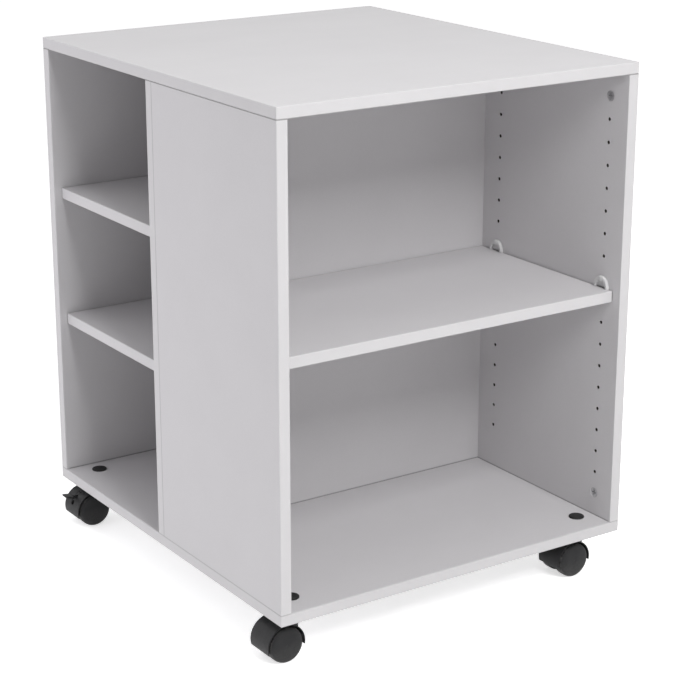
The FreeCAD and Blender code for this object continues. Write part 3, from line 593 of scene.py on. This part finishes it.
def hood_piece(corner):
    """The hood: a sheet at one radius over an angle and a width, thickened.

    It is cut away round the stem ahead, and over the arm's window where a brake is."""
    rows, columns = HOOD_GRID
    row_apart, column_apart = HOOD_APART
    cuts = (-STEM_ROOM, -SLOT_HALF, SLOT_HALF, STEM_ROOM)
    angles = spaced(HOOD_START, HOOD_END, rows, (0.0, *SLOT_ANGLES), row_apart)
    widths = spaced(-HOOD_HALF, HOOD_HALF, columns, cuts, column_apart)
    turn, across = np.meshgrid(np.radians(angles), widths, indexing="ij")
    sheet = np.stack([HOOD_RADIUS * np.cos(turn), across, HOOD_RADIUS * np.sin(turn)], axis=2)
    points = sheet.reshape(-1, 3)
    faces = grid_faces(len(angles), len(widths))
    bearing = np.degrees(turn.ravel()[faces].mean(axis=1))
    aside = np.abs(points[faces].mean(axis=1)[:, 1])
    cut = (bearing < 0.0) & (aside < STEM_ROOM)
    if corner in BRAKED:
        cut |= (bearing > SLOT_ANGLES[0]) & (bearing < SLOT_ANGLES[1]) & (aside < SLOT_HALF)
    used, places = np.unique(faces[~cut], return_inverse=True)
    piece = make_piece(
        f"{corner}_hood", on_caster(corner, points[used]), places.reshape(-1, 4), f"{corner}_swivel",
        "caster_plastic", [f"{corner}_housing"],
    )
    shell = piece.modifiers.new("wall", "SOLIDIFY")
    shell.thickness = HOOD_WALL * MM
    shell.offset = 0.0
    soften(piece, HOOD_ROUND)


def web_outline(notched):
    """The web's outline of (x, z): half a disc on the axle's level with a round boss below it."""
    stop = SLOT_ANGLES[0] if notched else 180.0
    rim = np.radians(np.linspace(0.0, stop, 90))
    arc = HOOD_RADIUS * np.stack([np.cos(rim), np.sin(rim)], axis=1)
    boss = np.radians(np.linspace(180.0, 360.0, 40))
    bump = BOSS_RADIUS * np.stack([np.cos(boss), np.sin(boss)], axis=1)
    notch = np.array([(SLOT_END, SLOT_TOP), (SLOT_END, 0.0)]) if notched else np.empty((0, 2))
    return np.concatenate([arc, notch, bump])


def web_pieces(corner):
    """The web between the wheels: one slab, or two cheeks and a notched core where the brake swings."""
    bands = [("web", -WEB_HALF, WEB_HALF, False)]
    if corner in BRAKED:
        bands = [
            ("fore_cheek", -WEB_HALF, -SLOT_HALF, False), ("web_core", -SLOT_HALF, SLOT_HALF, True),
            ("aft_cheek", SLOT_HALF, WEB_HALF, False),
        ]
    for label, low, high, notched in bands:
        points, faces = slab(web_outline(notched), low, high)
        piece = make_piece(
            f"{corner}_{label}", on_caster(corner, points), faces, f"{corner}_swivel", "caster_plastic",
            [f"{corner}_housing"],
        )
        if not notched:
            soften(piece, EDGE_ROUND, 2)


def socket_piece(corner):
    """The swivel socket: a ring-shaped profile turned about the stem, with a groove and a flared foot."""
    grid = revolved(rounded_path(SOCKET_PROFILE), SOCKET_TURNS)
    grid[..., 0] += SWIVEL_AHEAD
    faces = grid_faces(*grid.shape[:2], loop_rows=True, loop_columns=True)
    make_piece(
        f"{corner}_socket", on_caster(corner, grid), faces, f"{corner}_swivel", "caster_plastic",
        [f"{corner}_housing"],
    )


# Brake levers, in millimetres from the pivot. The pivot and the fin are given from the axle's middle.

PIVOT = np.array([-10.0, 0.0, 18.0])
LEVER_HALF = 3.0
EYE_RADIUS = 4.2
ARM_LAP = 1.5
ARM_NECK = -2.0
ARM_HALF = 3.2
ARM_TIP = (2.5, -1.9)
PEDAL_START = 17.37
PEDAL_END = 30.37
PEDAL_HALF = 9.5
PEDAL_LIFT = math.radians(10.0)
PEDAL_ROOT = 2.4
PEDAL_TAPER = 1.15
RIDGE_HEIGHT = 0.22
RIDGE_COUNT = 5.0
RIDGE_MIDDLE = 0.6
RIDGE_REACH = 0.25
SHOE_LEAN = math.radians(18.0)
SHOE_DROP = 23.0
SHOE_RADIUS = 2.4
SHOE_HALF = 14.55
SHOE_ROUND = 0.6
SHOE_TURNS = 40
SHOE_ARM_HALVES = (2.5, 2.2)
SHOE_ARM_TOP = -1.0
FIN_ANGLES = (118.5, 150.0)
FIN_PROUD = 0.5
FIN_FOOT = ((-21.0, 18.5), (-11.5, 19.0))


def lean(points, angle):
    """Points turned about Y so that a positive angle lifts what lies towards -X."""
    x, y, z = points[..., 0], points[..., 1], points[..., 2]
    cosine, sine = math.cos(angle), math.sin(angle)
    return np.stack([x * cosine + z * sine, y, z * cosine - x * sine], axis=-1)


def pedal_points():
    """The pedal: rounded oblong sections, thinner towards the tip, that close at both ends, with grip ridges.

    A section is |y / width|^5 + |z / height|^4 = 1. At a share s of the length its height falls off as
    (1 - |2 s - 1|^9)^0.3, its width falls off less, and its middle rises towards the tip."""
    along = (1.0 - np.cos(np.linspace(0.0, np.pi, 64))) / 2
    around = np.linspace(0.0, -2 * np.pi, 72, endpoint=False)
    fall = np.clip(1.0 - np.abs(2 * along - 1.0) ** 9.0, 0.0, 1.0) ** 0.3
    x = -(PEDAL_START + (PEDAL_END - PEDAL_START) * along)
    half_high = (PEDAL_ROOT - PEDAL_TAPER * along) * fall
    half_wide = (PEDAL_HALF - 0.8 * along ** 2) * (0.9 + 0.1 * fall) * fall ** 0.4
    cosine, sine = np.cos(around), np.sin(around)
    wide = np.sign(cosine) * np.abs(cosine) ** 0.4
    high = np.sign(sine) * np.abs(sine) ** 0.5
    from_ridges = along - RIDGE_MIDDLE
    wave = np.clip(np.cos(from_ridges * 2 * np.pi * RIDGE_COUNT), 0.0, 1.0)
    ridge = RIDGE_HEIGHT * wave * (np.abs(from_ridges) < RIDGE_REACH)
    y = half_wide[:, None] * wide
    z = half_high[:, None] * high + (0.85 * along - 0.1)[:, None]
    z += ridge[:, None] * (high > 0.9) * (np.abs(wide) < 0.8)
    return np.stack([np.broadcast_to(x[:, None], y.shape), y, z], axis=2)


def lever_pieces(corner):
    """A brake lever: a pedal, an arm with a round eye, a shoe arm, and a shoe that reaches into both wheels.

    A fin fills the top of the hood's window, in line with the hood."""
    body, node = f"{corner}_brake_lever_body", f"{corner}_brake_lever"
    pedal = lean(pedal_points(), PEDAL_LIFT)
    turn = np.radians(np.linspace(90.0, 270.0, 30))
    eye = EYE_RADIUS * np.stack([-np.cos(turn), np.sin(turn)], axis=1)
    reach = -(PEDAL_START + ARM_LAP)
    upper = [(reach, ARM_TIP[0]), (ARM_NECK, ARM_HALF)]
    lower = [(ARM_NECK, -ARM_HALF), (reach, ARM_TIP[1])]
    arm = np.concatenate([upper, eye, lower])
    top, foot = SHOE_ARM_HALVES
    drop = np.array([(-foot, -SHOE_DROP), (foot, -SHOE_DROP), (top, SHOE_ARM_TOP), (-top, SHOE_ARM_TOP)])
    rim = np.radians(np.linspace(*FIN_ANGLES, 24))
    crest = (HOOD_RADIUS + FIN_PROUD) * np.stack([np.cos(rim), np.sin(rim)], axis=1)
    fin = np.concatenate([crest, FIN_FOOT]) - PIVOT[[0, 2]]
    for label, outline, angle in (("arm", arm, PEDAL_LIFT), ("shoe_arm", drop, SHOE_LEAN), ("fin", fin, 0.0)):
        points, faces = slab(outline, -LEVER_HALF, LEVER_HALF)
        piece = make_piece(
            f"{corner}_lever_{label}", on_caster(corner, lean(points, angle) + PIVOT), faces, body,
            "caster_plastic", [node],
        )
        soften(piece, EDGE_ROUND, 2)
    rod = rounded_path((
        (0.0, -SHOE_HALF, 0.0), (SHOE_RADIUS, -SHOE_HALF, SHOE_ROUND),
        (SHOE_RADIUS, SHOE_HALF, SHOE_ROUND), (0.0, SHOE_HALF, 0.0),
    ))
    grid = revolved(rod, SHOE_TURNS)
    shoe = np.stack([grid[..., 0], grid[..., 2], -grid[..., 1] - SHOE_DROP], axis=2)
    for label, points in (("pedal", pedal), ("shoe", lean(shoe, SHOE_LEAN))):
        make_piece(
            f"{corner}_lever_{label}", on_caster(corner, points + PIVOT),
            grid_faces(*points.shape[:2], loop_columns=True), body, "caster_plastic", [node],
        )


for caster in CORNERS:
    hood_piece(caster)
    web_pieces(caster)
    socket_piece(caster)
    for wheel_side in SIDES:
        wheel_piece(caster, wheel_side)
for caster in BRAKED:
    lever_pieces(caster)


# Drilled rows: a hole's own measures in millimetres, and its place in metres

HOLE_RADIUS = 2.49
HOLE_WALL = 0.15
HOLE_MOUTH = 0.15
HOLE_DEPTH = 11.9
HOLE_PITCH = 0.032
HOLE_TOP = 0.690
HOLE_COUNT = 17
HOLE_TURNS = 20
HOLE_CREASE = 60.0
SHELF_HOLE = 8
ROW_PLACES = (-0.280, -0.044)
PANEL_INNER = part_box("right_side_panel")[0][0]


def shaded_hole_linings():
    """The walls of the shelf holes, raw board darkened as painted shade: a thin cup's profile turned about each
    hole's axis.
    """
    bore, floor = HOLE_RADIUS - HOLE_WALL, HOLE_DEPTH - HOLE_WALL
    profile = np.array([
        (0.0, floor), (bore, floor), (bore, HOLE_MOUTH), (HOLE_RADIUS, HOLE_MOUTH), (HOLE_RADIUS, HOLE_DEPTH),
        (0.0, HOLE_DEPTH),
    ])
    grid = revolved(profile, HOLE_TURNS) * MM
    cup = np.stack([grid[..., 2], grid[..., 1], -grid[..., 0]], axis=2)
    steps = [step for step in range(1, HOLE_COUNT + 1) if step != SHELF_HOLE]
    spots = [
        (PANEL_INNER * side, row, HOLE_TOP - HOLE_PITCH * step, side)
        for side in (1.0, -1.0) for row in ROW_PLACES for step in steps
    ]
    points, faces = copies(cup, grid_faces(*grid.shape[:2], loop_columns=True), spots)
    piece = make_piece("shaded_drilled_hole_walls", points, faces, ROOT, "board", [], HOLE_CREASE)
    # The hole walls are painted dark: partly raw board and partly painted shade for the deep holes
    piece.data.materials[0] = DRILLED_CHIPS_AND_SHADE


shaded_hole_linings()


# Front shelf supports, in millimetres from the hole's mouth, with +X into the bay

SUPPORT_FOOT = -12.7
SUPPORT_HALF = 13.0
SUPPORT_PLATE = 1.6
ARCH_INNER = (9.3, 9.5)
ARCH_OUTER = (14.2, 16.9)
ARCH_DEPTH = 5.5
WEB_LAP = 1.0
PEG_TURNS = 36
LEDGE_OUTLINE = ((0.0, -32.0), (14.0, -32.0), (14.0, -29.0), (1.6, -29.0), (1.6, -11.0), (0.0, -11.0))
PEG_PROFILE = (
    (0.0, -10.0, 0.0), (2.4, -10.0, 0.5), (2.4, 0.3, 0.0), (3.6, 0.3, 0.0), (3.6, 6.0, 1.0), (0.0, 6.2, 0.0),
)


def arch_surface():
    """The arch: rounded sections between two half ellipses, carried over from foot to foot.

    A section runs from the inner to the outer ellipse and over the depth, with its corners rounded."""
    along = np.linspace(np.pi, 0.0, 49)[:, None]
    around = np.linspace(0.0, 2 * np.pi, 32, endpoint=False)
    cosine, sine = np.cos(around), np.sin(around)
    share = 0.5 + 0.5 * np.sign(cosine) * np.abs(cosine) ** 0.45
    depth = 0.5 + 0.5 * np.sign(sine) * np.abs(sine) ** 0.45
    wide, high = (low + (top - low) * share for low, top in zip(ARCH_INNER, ARCH_OUTER))
    y, z = wide * np.cos(along), SUPPORT_FOOT + high * np.sin(along)
    points = np.stack([np.broadcast_to(ARCH_DEPTH * depth, y.shape), y, z], axis=2)
    rows, columns = y.shape
    ends = [range(columns)[::-1], range((rows - 1) * columns, rows * columns)]
    return points, [*grid_faces(rows, columns, loop_columns=True), *ends]


def support_pieces():
    """The shelf's four supports: an arch on the shelf, a thin web inside it, a peg, and a ledge below."""
    turn = np.linspace(0.0, np.pi, 33)
    half, rise = ARCH_INNER
    bow = [(half + WEB_LAP) * np.cos(turn), SUPPORT_FOOT + (rise + WEB_LAP) * np.sin(turn)]
    web, web_faces = slab(np.stack(bow, axis=1), 0.0, SUPPORT_PLATE)
    grid = revolved(rounded_path(PEG_PROFILE), PEG_TURNS)
    peg = np.stack([grid[..., 2], grid[..., 1], -grid[..., 0]], axis=2)
    shapes = {
        "arches": arch_surface(),
        "webs": (web[..., [1, 0, 2]], [face[::-1] for face in web_faces]),
        "pegs": (peg, grid_faces(*grid.shape[:2], loop_columns=True)),
        "ledges": slab(np.array(LEDGE_OUTLINE), -SUPPORT_HALF, SUPPORT_HALF),
    }
    level = HOLE_TOP - HOLE_PITCH * SHELF_HOLE
    spots = [(-PANEL_INNER * side, row, level, side) for side in (1.0, -1.0) for row in ROW_PLACES]
    for label, (points, faces) in shapes.items():
        points, faces = copies(points * MM, faces, spots)
        piece = make_piece(
            f"support_{label}", points, faces, ROOT, "support_plastic", ["front_shelf_supports"],
        )
        if label == "ledges":
            soften(piece, EDGE_ROUND)


support_pieces()


# Stage, light and camera

CAMERA_AZIMUTH = math.radians(-33.69)
CAMERA_ELEVATION = math.radians(17.71)
CAMERA_DISTANCE = 2.847
CAMERA_AIM = Vector((0.0167, 0.0, 0.3143))
CAMERA_LENS = 103.72

WHITE = (1.0, 1.0, 1.0)
LILAC = (0.985, 0.955, 1.03)
LAMP_AIM = Vector((0.0, 0.0, 0.4))

# Azimuth and elevation in degrees, distance and width in metres, power in watts, colour
LAMPS = {
    "front_key": (-4.0, 41.5, 3.4, 1.3, 70.0, WHITE),
    "left_fill": (-106.0, 10.0, 1.6, 0.6, 3.7, LILAC),
    "top_fill": (-20.0, 80.0, 3.0, 2.4, 9.5, WHITE),
    "rear_fill": (215.0, 35.0, 3.4, 2.4, 14.0, WHITE),
}

FLOOR_REACH = 14.0
FLOOR_LINES = 9
FLOOR_LIGHT = (0.95, 0.95, 0.95)
FLOOR_DARK = (0.93, 0.93, 0.93)
FLOOR_GLOW = 0.60
AMBIENT = 0.42


def view_direction(azimuth, elevation):
    """The unit vector from the aim to a viewer at an azimuth and elevation."""
    flat = math.cos(elevation)
    return Vector((math.sin(azimuth) * flat, -math.cos(azimuth) * flat, math.sin(elevation)))


def place_camera():
    """The camera at the photograph's viewing angle."""
    data = bpy.data.cameras.new("camera")
    data.lens = CAMERA_LENS
    data.sensor_width = 36.0
    data.clip_end = 60.0
    camera = bpy.data.objects.new("camera", data)
    back = view_direction(CAMERA_AZIMUTH, CAMERA_ELEVATION)
    camera.location = CAMERA_AIM + back * CAMERA_DISTANCE
    camera.rotation_euler = back.to_track_quat("Z", "Y").to_euler()
    bpy.context.scene.collection.objects.link(camera)
    bpy.context.scene.camera = camera


def soft_light(name, azimuth, elevation, distance, width, power, tint):
    """A square lamp that faces the middle of the cabinet."""
    data = bpy.data.lights.new(name, "AREA")
    data.size = width
    data.energy = power
    data.color = tint
    lamp = bpy.data.objects.new(name, data)
    back = view_direction(math.radians(azimuth), math.radians(elevation))
    lamp.location = LAMP_AIM + back * distance
    lamp.rotation_euler = back.to_track_quat("Z", "Y").to_euler()
    bpy.context.scene.collection.objects.link(lamp)


def seen_rays(tree):
    """1 for rays from the camera, or by way of a mirror or glass, and 0 for rays that light things."""
    path = add_node(tree, "ShaderNodeLightPath")
    mirrored = math_node(tree, "MAXIMUM", path.outputs["Is Glossy Ray"], path.outputs["Is Transmission Ray"])
    return math_node(tree, "MAXIMUM", path.outputs["Is Camera Ray"], mirrored)


def lay_floor():
    """A wide pale floor: a flat square grid at the wheels' lowest point, clear when seen from below."""
    reach = np.linspace(-FLOOR_REACH, FLOOR_REACH, FLOOR_LINES)
    across, along = np.meshgrid(reach, reach, indexing="ij")
    points = np.stack([across, along, np.zeros_like(across)], axis=2)
    mesh = bpy.data.meshes.new("floor")
    faces = grid_faces(FLOOR_LINES, FLOOR_LINES)[:, ::-1]
    mesh.from_pydata(points.reshape(-1, 3).tolist(), [], faces.tolist())
    material, tree, shader = new_material("pale_floor")
    cloud = ramp(tree, noise(tree, object_place(tree), 2.0, 3.0), 0.3, 0.7)
    tree.links.new(blend_colours(tree, cloud, FLOOR_DARK, FLOOR_LIGHT), shader.inputs["Base Color"])
    shader.inputs["Roughness"].default_value = 0.7
    shader.inputs["Specular IOR Level"].default_value = 0.1
    shader.inputs["Emission Color"].default_value = (1.0, 1.0, 1.0, 1.0)
    glow = math_node(tree, "MULTIPLY", seen_rays(tree), FLOOR_GLOW)
    tree.links.new(glow, shader.inputs["Emission Strength"])
    behind = add_node(tree, "ShaderNodeNewGeometry").outputs["Backfacing"]
    tree.links.new(math_node(tree, "SUBTRACT", 1.0, behind), shader.inputs["Alpha"])
    mesh.materials.append(material)
    floor = bpy.data.objects.new("floor", mesh)
    bpy.context.scene.collection.objects.link(floor)


def light_world():
    """An even pale surround that is seen as white."""
    world = bpy.data.worlds.new("surround")
    world.use_nodes = True
    tree = world.node_tree
    backdrop = tree.nodes["Background"]
    backdrop.inputs["Color"].default_value = (1.0, 1.0, 1.0, 1.0)
    strength = math_node(tree, "MAXIMUM", seen_rays(tree), AMBIENT)
    tree.links.new(strength, backdrop.inputs["Strength"])
    bpy.context.scene.world = world


lay_floor()
light_world()
for lamp_name, lamp_values in LAMPS.items():
    soft_light(lamp_name, *lamp_values)
place_camera()
bpy.context.scene.view_settings.view_transform = "Standard"
